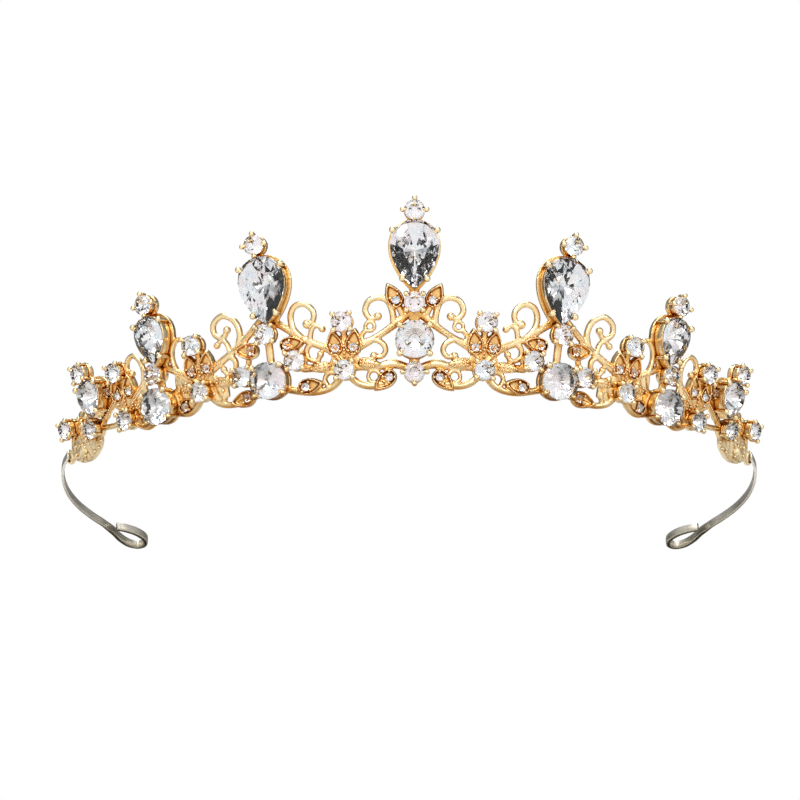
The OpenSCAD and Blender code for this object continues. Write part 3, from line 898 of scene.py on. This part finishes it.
# where grains of solder stand on the knot
KNOT_GRAINS = ((-3.6, 3.2), (-2.2, 2.2), (-0.6, 2.0), (-1.8, 4.2), (0.2, 5.6), (5.6, 5.2), (6.2, 3.6))


def knot(side):
    """A blob of solder under the end casting and the small eye that the arm is brazed to."""
    a = side * END_A
    u = side * BLOB_U
    p, beads = Piece(), Piece()
    p.bead(a, u, BLOB_V, 0, 1.7, 1.0, 24)
    p.lathe(a, u, BLOB_V, [(CORE, -0.95), (1.8, -0.95), (2.0, -0.7), (2.0, 0.3), (1.8, 0.55), (CORE, 0.55)])
    web(p, a, side, KNOT_WEB, 0.65)
    p.tube(a, [[side * 4.2, 3.6], [side * 8.4, 4.2]], 1.4, 1.4)
    ring(p, a, side * 9.3, 4.3, 1.55, 0.9, 0.4)
    for x, v in KNOT_GRAINS:
        beads.bead(a, side * x, v, 0.75, 0.5, 0.85)
    for k in range(8):
        t = math.radians(45 * k + 20)
        beads.bead(a, u + 1.25 * math.cos(t), BLOB_V + 1.25 * math.sin(t), 0.9, 0.42, 0.9)
    return p, beads


for side, word in SIDES:
    body, beads = knot(side)
    body.build(f"knot_{word}", [GOLD_SOLDER], [f"end_knot_{word}"], "gold_solder", SOLDER_VOXEL, beads)
    arm(side).build(f"spring_arm_{word}", [STRIP], [f"arm_{word}"], "strip_metal")

# ---------------------------------------------------------------- floor, light and camera


FLOOR_HALF, FLOOR_GAP = 2.5, 0.0001


def floor():
    """A plain pale floor painted on its upper side only, so that it is clear from below."""
    me = bpy.data.meshes.new("floor")
    s = FLOOR_HALF
    me.from_pydata([(-s, -s, 0), (s, -s, 0), (s, s, 0), (-s, s, 0)], [], [(0, 1, 2, 3)])
    ob = bpy.data.objects.new("floor", me)
    ob.location.z = -FLOOR_GAP
    bpy.context.scene.collection.objects.link(ob)
    mat, nt, p = new_material("floor_paint")
    p.inputs["Base Color"].default_value = (0.86, 0.86, 0.86, 1)
    p.inputs["Roughness"].default_value = 0.6
    clear = nt.nodes.new("ShaderNodeBsdfTransparent")
    geo = nt.nodes.new("ShaderNodeNewGeometry")
    mix = nt.nodes.new("ShaderNodeMixShader")
    nt.links.new(geo.outputs["Backfacing"], mix.inputs[0])
    nt.links.new(p.outputs[0], mix.inputs[1])
    nt.links.new(clear.outputs[0], mix.inputs[2])
    nt.links.new(mix.outputs[0], nt.nodes["Material Output"].inputs["Surface"])
    me.materials.append(mat)


def lamp(name, place, size, watts, colour=(1, 1, 1), target=(0, 0, 0.015)):
    """A rectangular soft light at place that looks at target."""
    data = bpy.data.lights.new(name, "AREA")
    data.shape = "RECTANGLE"
    data.size, data.size_y = size
    data.energy = watts
    data.color = colour
    ob = bpy.data.objects.new(name, data)
    ob.location = place
    ob.rotation_euler = (Vector(target) - Vector(place)).to_track_quat("-Z", "Y").to_euler()
    bpy.context.scene.collection.objects.link(ob)


def surroundings():
    """A room, bright in front and dark behind, for the metal and the stones to mirror."""
    world = bpy.data.worlds.new("room")
    world.use_nodes = True
    nt = world.node_tree
    bg = nt.nodes["Background"]
    co = nt.nodes.new("ShaderNodeTexCoord")
    sep = nt.nodes.new("ShaderNodeSeparateXYZ")
    nt.links.new(co.outputs["Generated"], sep.inputs[0])
    shade = span(nt, sep.outputs["Y"], 1.0, 0.3, -0.9, 0.5)
    panels = nt.nodes.new("ShaderNodeTexNoise")
    panels.inputs["Scale"].default_value = 2.6
    panels.inputs["Detail"].default_value = 1.0
    nt.links.new(co.outputs["Generated"], panels.inputs["Vector"])
    lit = ramp(nt, panels.outputs["Fac"], [(0.38, (0.16,) * 3), (0.45, (0.6,) * 3), (0.54, (1.0,) * 3)])
    room = nt.nodes.new("ShaderNodeMath")
    room.operation = "MULTIPLY"
    nt.links.new(shade, room.inputs[0])
    nt.links.new(lit, room.inputs[1])
    # the camera itself sees plain white
    path = nt.nodes.new("ShaderNodeLightPath")
    mix = nt.nodes.new("ShaderNodeMix")
    mix.data_type = "FLOAT"
    nt.links.new(path.outputs["Is Camera Ray"], mix.inputs[0])
    nt.links.new(room.outputs["Value"], mix.inputs[2])
    mix.inputs[3].default_value = 1.0
    nt.links.new(mix.outputs[0], bg.inputs["Strength"])
    bg.inputs["Color"].default_value = (1, 1, 1, 1)
    bpy.context.scene.world = world


floor()
surroundings()
lamp("key", (-0.35, -0.75, 0.55), (0.35, 0.35), 2.6, (1, 0.98, 0.95))
lamp("fill", (0.6, -0.6, 0.18), (0.3, 0.25), 1.0, (0.96, 0.98, 1))
lamp("low_front", (-0.05, -0.9, 0.06), (0.5, 0.1), 1.3)
lamp("top", (0.0, -0.1, 0.9), (0.6, 0.6), 5.0)

# the point the camera looks at, its distance from there, its bearing, height and roll
PIVOT = Vector((0, (AXIS_Y - 39.0) * 0.001, 0.01706))
VIEW_DISTANCE = 0.481
VIEW_AZ, VIEW_EL, VIEW_ROLL = math.radians(-1.197), math.radians(-24.755), math.radians(-0.386)
# a long lens in front of a 36 mm wide sensor, set a little off its axis
SENSOR, LENS, SHIFT_X, SHIFT_Y = 36.0, 105.057, -0.012625, 0.00025

cam = bpy.data.cameras.new("camera")
cam.sensor_width = SENSOR
cam.lens = LENS
cam.shift_x = SHIFT_X
cam.shift_y = SHIFT_Y
cam.clip_start = 0.01
eye = bpy.data.objects.new("camera", cam)
bpy.context.scene.collection.objects.link(eye)
flat = math.cos(VIEW_EL)
away = Vector((math.sin(VIEW_AZ) * flat, -math.cos(VIEW_AZ) * flat, math.sin(VIEW_EL)))
eye.location = PIVOT + away * VIEW_DISTANCE
facing = (-away).to_track_quat("-Z", "Y").to_matrix()
eye.rotation_euler = (facing @ Matrix.Rotation(VIEW_ROLL, 3, "Z")).to_euler()
bpy.context.scene.camera = eye
bpy.context.scene.view_settings.view_transform = "Standard"
